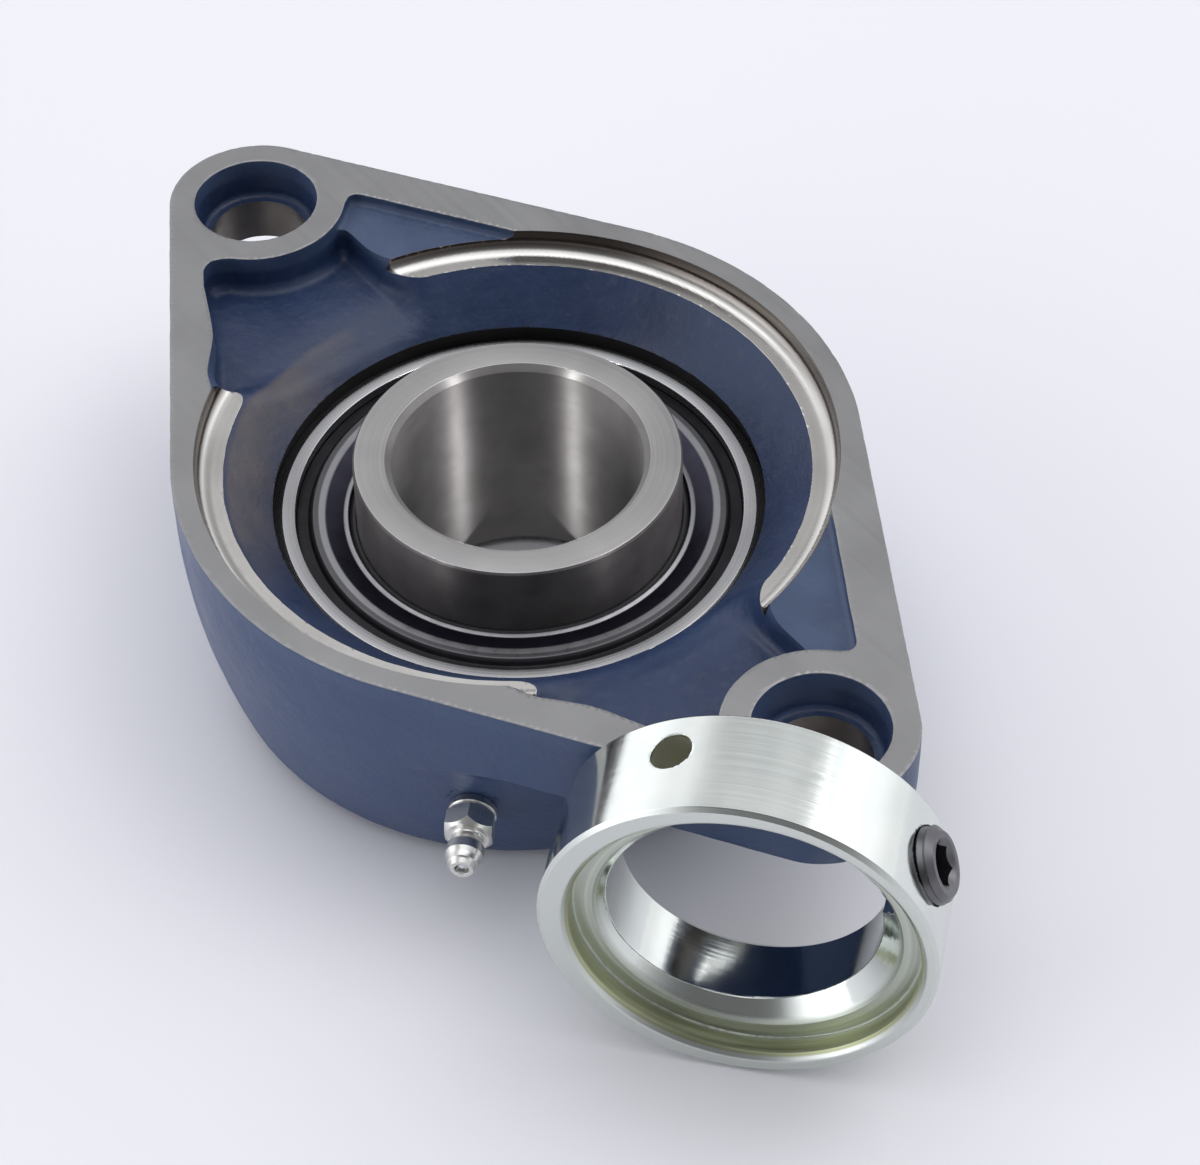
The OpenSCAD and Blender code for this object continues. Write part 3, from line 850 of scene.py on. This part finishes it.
def make_outer_ring():
    h = outer_half
    outline = [
        (SEAL_SEAT_R, h), (SEAL_SEAT_R, LAND_HALF), (LAND_R, LAND_HALF), (LAND_R, -LAND_HALF),
        (SEAL_SEAT_R, -LAND_HALF), (SEAL_SEAT_R, -h), (OUTER_FACE_R, -h)
    ]
    for t in np.linspace(-OUTER_TURN, OUTER_TURN, 17):
        outline.append((OUTER_R * math.cos(t), OUTER_R * math.sin(t)))
    outline.append((OUTER_FACE_R, h))
    piece = lathe_piece("bearing_outer_ring", soften([(r, seat_z + z) for r, z in outline], 0.2))
    add_piece(piece, "insert", "ground_steel", ["outer_ring"], GROUND)


def make_seals():
    cover = [
        (31.25, 7.6), (31.25, 8.1), (29.6, 8.1), (28.9, 9.0), (27.2, 9.0), (24.6, 8.3),
        (23.9, 8.6), (23.9, 8.1), (24.6, 7.8), (27.2, 8.5), (28.5, 8.5), (29.2, 7.6)
    ]
    lip = [
        (31.2, 7.02), (31.2, 7.5), (24.2, 7.5), (23.3, 8.2), (inner_r + 0.05, 8.2),
        (inner_r + 0.05, 7.9), (23.6, 7.02)
    ]
    for name, side in (("upper", 1), ("lower", -1)):
        piece = lathe_piece(name + "_seal_cover", soften(mirrored(cover, side), 0.3))
        add_piece(piece, "insert", "seal_steel", [name + "_seal_washer"], SEAL_STEEL)
        piece = lathe_piece(name + "_seal_rubber", soften(mirrored(lip, side), 0.15))
        add_piece(piece, "insert", "seal_rubber", [name + "_seal_lip"], RUBBER)


def collar_frame():
    """The collar's own frame from the record: +Z into its body, +X towards its set screw."""
    mount = mounts["collar_bore"]
    deep = -np.array(mount["axis"])
    deep /= np.linalg.norm(deep)
    middle = COLLAR_RECESS + mount["dims"]["length_mm"] / 2
    front = np.array(mount["pos_m"]) / MM - middle * deep
    screw = -np.array(joints["set_screw_drive"]["axis"])
    screw -= (screw @ deep) * deep
    screw /= np.linalg.norm(screw)
    third = np.cross(deep, screw)
    m = Matrix([(*row, 0.0) for row in np.stack([screw, third, deep], axis=1)] + [(0, 0, 0, 1)])
    m.translation = Vector(front * MM)
    return m


def collar_field(x, y, z):
    """The collar in its own frame, its front face at z = 0."""
    r = np.hypot(x, y)
    body = round_max(r - COLLAR_R, slab(z, 0.0, COLLAR_W), 0.25)
    body = np.maximum(body, (r - z - COLLAR_R + COLLAR_CHAMFER) / SQRT2)
    body = round_max(body, collar_bore_r - r, 0.4)
    body = np.maximum(body, (collar_bore_r + COLLAR_MOUTH - COLLAR_W + z - r) / SQRT2)
    off_x = x - COLLAR_OFF * math.cos(RECESS_TURN)
    off_y = y - COLLAR_OFF * math.sin(RECESS_TURN)
    off_r = np.hypot(off_x, off_y)
    recess = round_max(off_r - COLLAR_RECESS_R, z - COLLAR_RECESS, 0.15)
    recess = np.minimum(recess, (off_r + z - COLLAR_RECESS_R - RECESS_CHAMFER) / SQRT2)
    body = round_max(body, -recess, 0.12)
    px, py = math.cos(PIN_TURN), math.sin(PIN_TURN)
    pin = np.maximum(np.hypot(x * py - y * px, z - PIN_T) - PIN_R,
                     COLLAR_R - PIN_DEPTH - (x * px + y * py))
    body = round_max(body, -pin, 0.12)
    tapped = np.maximum(np.hypot(y, z - SCREW_T) - SCREW_R - SCREW_GAP, -x)
    tapped = np.maximum(tapped, COLLAR_RECESS + 0.5 - z)
    return round_max(body, -tapped, 0.2)


def make_collar():
    place = collar_frame()
    piece = field_piece("eccentric_collar", collar_field, (-COLLAR_R, -COLLAR_R, 0),
                        (COLLAR_R, COLLAR_R, COLLAR_W), 0.36)
    piece.data.transform(place)
    add_piece(piece, "collar", "zinc_chromate", ["locking_collar"], chromate(place))


def hexagon_field(y, z, across):
    """Distance outside a hexagon with two corners on the z axis."""
    y, z = np.abs(y), np.abs(z)
    return np.maximum(y, 0.5 * y + math.sqrt(0.75) * z) - across / 2


def screw_field(x, y, z):
    """The set screw along the collar frame's x axis."""
    z = z - SCREW_T
    r = np.hypot(y, z)
    body = np.maximum(r - SCREW_R, slab(x, SCREW_IN, SCREW_OUT))
    body = np.maximum(body, (r + x - SCREW_R - SCREW_OUT + SCREW_TOP_CHAMFER) / SQRT2)
    body = np.maximum(body, (r - x - SCREW_R + SCREW_IN + SCREW_END_CHAMFER) / SQRT2)
    turns = np.arctan2(y, z) / (2 * math.pi) + x / SCREW_PITCH
    thread = THREAD_H * np.abs(turns % 1 - 0.5) * 2
    body = np.maximum(body, r - SCREW_R + THREAD_H - thread)
    socket = np.maximum(hexagon_field(y, z, SCREW_AF), SCREW_OUT - SOCKET_DEPTH - x)
    socket = np.minimum(socket, (r - SOCKET_MOUTH_R + SCREW_OUT - x) / SQRT2)
    return round_max(body, -socket, 0.12)


def make_screw():
    place = collar_frame()
    piece = field_piece("socket_set_screw", screw_field, (SCREW_IN, -SCREW_R, SCREW_T - SCREW_R),
                        (SCREW_OUT, SCREW_R, SCREW_T + SCREW_R), 0.16)
    piece.data.transform(place)
    add_piece(piece, "screw", "black_oxide", ["set_screw"], OXIDE)


def nipple_field(x, y, z):
    """The grease nipple along its own z axis, z counted from the bearing's axis."""
    r = np.hypot(x, y)
    s = z - WALL_S
    thread = np.maximum(r - NIPPLE_THREAD_R, slab(s, -THREAD_LONG, 0.1))
    shoulder = round_max(r - SHOULDER_R, slab(s, 0.0, SHOULDER_S), 0.25)
    hexagon = np.maximum(hexagon_field(x, y, NIPPLE_AF), slab(s, HEXAGON_LOW, HEXAGON_HIGH))
    hexagon_middle = (HEXAGON_LOW + HEXAGON_HIGH) / 2
    hexagon = np.maximum(hexagon, (r + np.abs(s - hexagon_middle) - HEXAGON_POINT_R) / SQRT2)
    neck = np.maximum(r - NECK_R, slab(s, 4.0, 9.5))
    head = round_max(r - HEAD_R, slab(s, HEAD_LOW, NIPPLE_LONG), 0.6)
    head = np.maximum(head, (r - 0.8 * (s - HEAD_LOW) - NECK_R) / 1.28)
    head = np.maximum(head, (r + 0.45 * (s - HEAD_MIDDLE) - HEAD_R) / 1.10)
    body = np.minimum(np.minimum(thread, shoulder), hexagon)
    body = round_min(body, neck, 0.5)
    body = round_min(body, head, 0.3)
    mouth = np.maximum(r - MOUTH_HOLE_R, MOUTH_HOLE_S - s)
    return round_max(body, -mouth, 0.12)


def nipple_place():
    """The nipple's own frame, its start on the bearing's axis and its direction outwards."""
    start, out = nipple_axes()
    side = np.cross((0, 0, 1), out)
    place = Matrix([(*row, 0.0) for row in np.stack([side, np.cross(out, side), out], axis=1)]
                   + [(0, 0, 0, 1)])
    place.translation = Vector(start * MM)
    return place, start, out


def make_nipple():
    place = nipple_place()[0]
    low, high = (-4, -4, WALL_S - THREAD_LONG), (4, 4, WALL_S + NIPPLE_LONG)
    piece = field_piece("zinc_nipple", nipple_field, low, high, 0.16)
    piece.data.transform(place)
    add_piece(piece, "housing", "zinc", ["grease_nipple"], ZINC)


def make_check_spring():
    """The spring behind the nipple's check ball; the real spring shortens as the ball is pressed in, this coil
    keeps its length.
    """
    sides, steps = 10, 24 * SPRING_TURNS
    step, side = np.meshgrid(np.arange(steps + 1), np.arange(sides), indexing="ij")
    turn = step * 2 * math.pi * SPRING_TURNS / steps
    around = side * 2 * math.pi / sides
    r = COIL_R + WIRE_R * np.cos(around)
    z = SPRING_S + WIRE_R + (SPRING_LONG - 2 * WIRE_R) * step / steps + WIRE_R * np.sin(around)
    points = np.stack([r * np.cos(turn), r * np.sin(turn), z], axis=-1).reshape(-1, 3)
    a = (step * sides + side)[:-1]
    b = (step * sides + (side + 1) % sides)[:-1]
    walls = [np.stack([a, a + sides, b + sides], axis=-1), np.stack([a, b + sides, b], axis=-1)]
    fan = np.arange(1, sides - 1)
    start_cap = np.stack([0 * fan, fan, fan + 1], axis=1)
    end_cap = start_cap[:, ::-1] + steps * sides
    faces = np.concatenate([w.reshape(-1, 3) for w in walls] + [start_cap, end_cap])
    mesh = raw_mesh("check_spring", points * MM, faces)
    mesh.shade_smooth()
    mesh.set_sharp_from_angle(angle=math.radians(50))
    place, start, out = nipple_place()
    mesh.transform(place)
    piece = as_object("check_spring", mesh)
    add_piece(piece, "housing", "spring_steel", ["nipple_spring"], WASHER_STEEL)
    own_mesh(piece)


def dress_hidden_nodes():
    """The pieces that keep their CAD shape, inside the seals and the nipple, get their metals."""
    kinds = {"ball_": BALL_STEEL, "cage_": CAGE_STEEL, "nipple_ball": BALL_STEEL,
             "upper_seal_backing": WASHER_STEEL, "lower_seal_backing": WASHER_STEEL}
    for name, node in frame["nodes"].items():
        for start, material in kinds.items():
            if name.startswith(start):
                dress(node, material)


# ---------------------------------------------------------------- stage, light and camera

VIEW_AZIMUTH, VIEW_ELEVATION, VIEW_ROLL = 53.18, 46.77, -0.82
VIEW_DISTANCE, VIEW_LENS = 0.4667, 101.84
VIEW_TARGET = Vector((0.0176, 0.0007, -0.0136))
STUDIO_LEVEL = 1.12  # brightness of the walls between the patches
FLOOR_SIZE, FLOOR_STEPS, FLOOR_GAP = 3.0, 24, 0.02 * MM
KEY_SIDE, KEY_DISTANCE, KEY_SIZE, KEY_POWER = (75, 55), 3.0, 1.8, 10.0
SNOOT_DISTANCE, SNOOT_RADIUS, SNOOT_POWER = 0.6, 0.008, 9.0
LEFT_STREAK, RIGHT_STREAK = (-90, 45), (22, 45)


def make_floor():
    t = (np.arange(FLOOR_STEPS + 1) / FLOOR_STEPS - 0.5) * FLOOR_SIZE
    x, y = np.meshgrid(t, t, indexing="ij")
    z = np.full_like(x, cad_box[0].z - FLOOR_GAP)
    points = np.stack([x, y, z], axis=-1).reshape(-1, 3)
    i, k = np.meshgrid(np.arange(FLOOR_STEPS), np.arange(FLOOR_STEPS), indexing="ij")
    row = FLOOR_STEPS + 1
    a = i * row + k
    quads = np.stack([a, a + row, a + row + 1, a + 1], axis=-1).reshape(-1, 4)
    floor = as_object("floor", raw_mesh("floor", points, quads))
    m = Nodes("floor_paper")
    colour = m.ramp(m.noise(3, 2.0), [(0.3, (0.85, 0.85, 0.885)), (0.7, (0.87, 0.87, 0.90))])
    dress(floor, m.finish(colour, m.span(m.noise(40), 0.3, 0.7, 0.75, 0.85), Metallic=0.0))


def add_light(name, at, size, power):
    """A square soft light that points at the middle of the frame."""
    data = bpy.data.lights.new(name, "AREA")
    data.shape = "SQUARE"
    data.size = size
    data.energy = power
    light = bpy.data.objects.new(name, data)
    bpy.context.scene.collection.objects.link(light)
    light.location = at
    light.rotation_mode = "QUATERNION"
    light.rotation_quaternion = (-at).to_track_quat("-Z", "Y")


def add_snoot(name, azimuth, elevation, power):
    """A narrow spotlight on the inner ring, which makes one bright streak in its bore."""
    data = bpy.data.lights.new(name, "SPOT")
    data.energy = power
    data.shadow_soft_size = SNOOT_RADIUS
    data.spot_size = 2 * math.atan(bore_r * MM / SNOOT_DISTANCE)
    data.spot_blend = 0.4
    light = bpy.data.objects.new(name, data)
    bpy.context.scene.collection.objects.link(light)
    at = Vector(towards(azimuth, elevation))
    light.location = at * SNOOT_DISTANCE + Vector((0, 0, inner_high_z * MM))
    light.rotation_mode = "QUATERNION"
    light.rotation_quaternion = (-at).to_track_quat("-Z", "Y")


def towards(azimuth, elevation):
    """Unit vector towards a point of the studio, from the object."""
    a, e = math.radians(azimuth), math.radians(elevation)
    return (math.cos(a) * math.cos(e), math.sin(a) * math.cos(e), math.sin(e))


# The studio's walls: azimuth, elevation, half width of the soft patch in degrees, brightness added
PATCHES = [
    (180, 4, 18, 0.35), (103, 36, 16, 0.3), (128, 44, 24, -0.75), (168, 46, 16, 0.1),
    (143, 84, 30, 1.2), (-37, 45, 48, -0.95), (-132, 48, 18, -0.5), (62, 44, 16, -0.5),
    (-112, 12, 26, 1.2), (84, 24, 14, 0.3),
]


def patch(tree, direction, azimuth, elevation, width, level):
    """A soft round patch on the studio's walls."""
    dot = tree.nodes.new("ShaderNodeVectorMath")
    dot.operation = "DOT_PRODUCT"
    dot.inputs[1].default_value = towards(azimuth, elevation)
    tree.links.new(direction, dot.inputs[0])
    fade = tree.nodes.new("ShaderNodeMapRange")
    fade.interpolation_type = "SMOOTHSTEP"
    fade.inputs["From Min"].default_value = math.cos(math.radians(1.5 * width))
    fade.inputs["From Max"].default_value = math.cos(math.radians(0.35 * width))
    fade.inputs["To Max"].default_value = level
    tree.links.new(dot.outputs["Value"], fade.inputs["Value"])
    return fade.outputs["Result"]


def make_world():
    world = bpy.data.worlds.new("studio")
    world.use_nodes = True
    tree = world.node_tree
    background = tree.nodes["Background"]
    background.inputs["Color"].default_value = (0.955, 0.96, 1.0, 1.0)
    direction = tree.nodes.new("ShaderNodeTexCoord").outputs["Generated"]
    total = None
    for values in PATCHES:
        level = patch(tree, direction, *values)
        add = tree.nodes.new("ShaderNodeMath")
        add.operation = "ADD"
        tree.links.new(level, add.inputs[0])
        if total is None:
            add.inputs[1].default_value = STUDIO_LEVEL
        else:
            tree.links.new(total, add.inputs[1])
        total = add.outputs["Value"]
    tree.links.new(total, background.inputs["Strength"])
    bpy.context.scene.world = world


def make_light():
    make_world()
    add_light("key", Vector(towards(*KEY_SIDE)) * KEY_DISTANCE, KEY_SIZE, KEY_POWER)
    add_snoot("left_streak", *LEFT_STREAK, SNOOT_POWER)
    add_snoot("right_streak", *RIGHT_STREAK, SNOOT_POWER)
    bpy.context.scene.view_settings.view_transform = "Standard"


def make_camera():
    a, e = math.radians(VIEW_AZIMUTH), math.radians(VIEW_ELEVATION)
    back = Vector((math.sin(a) * math.cos(e), -math.cos(a) * math.cos(e), math.sin(e)))
    data = bpy.data.cameras.new("camera")
    data.lens = VIEW_LENS
    data.sensor_width = 36.0
    camera = bpy.data.objects.new("camera", data)
    bpy.context.scene.collection.objects.link(camera)
    camera.location = VIEW_TARGET + back * VIEW_DISTANCE
    camera.rotation_mode = "QUATERNION"
    turn = (-back).to_track_quat("-Z", "Y")
    roll = Matrix.Rotation(math.radians(VIEW_ROLL), 4, "Z").to_quaternion()
    camera.rotation_quaternion = turn @ roll
    bpy.context.scene.camera = camera


make_housing()
make_outer_ring()
make_inner_ring()
make_seals()
make_collar()
make_screw()
make_nipple()
make_check_spring()
dress_hidden_nodes()
make_floor()
make_light()
make_camera()
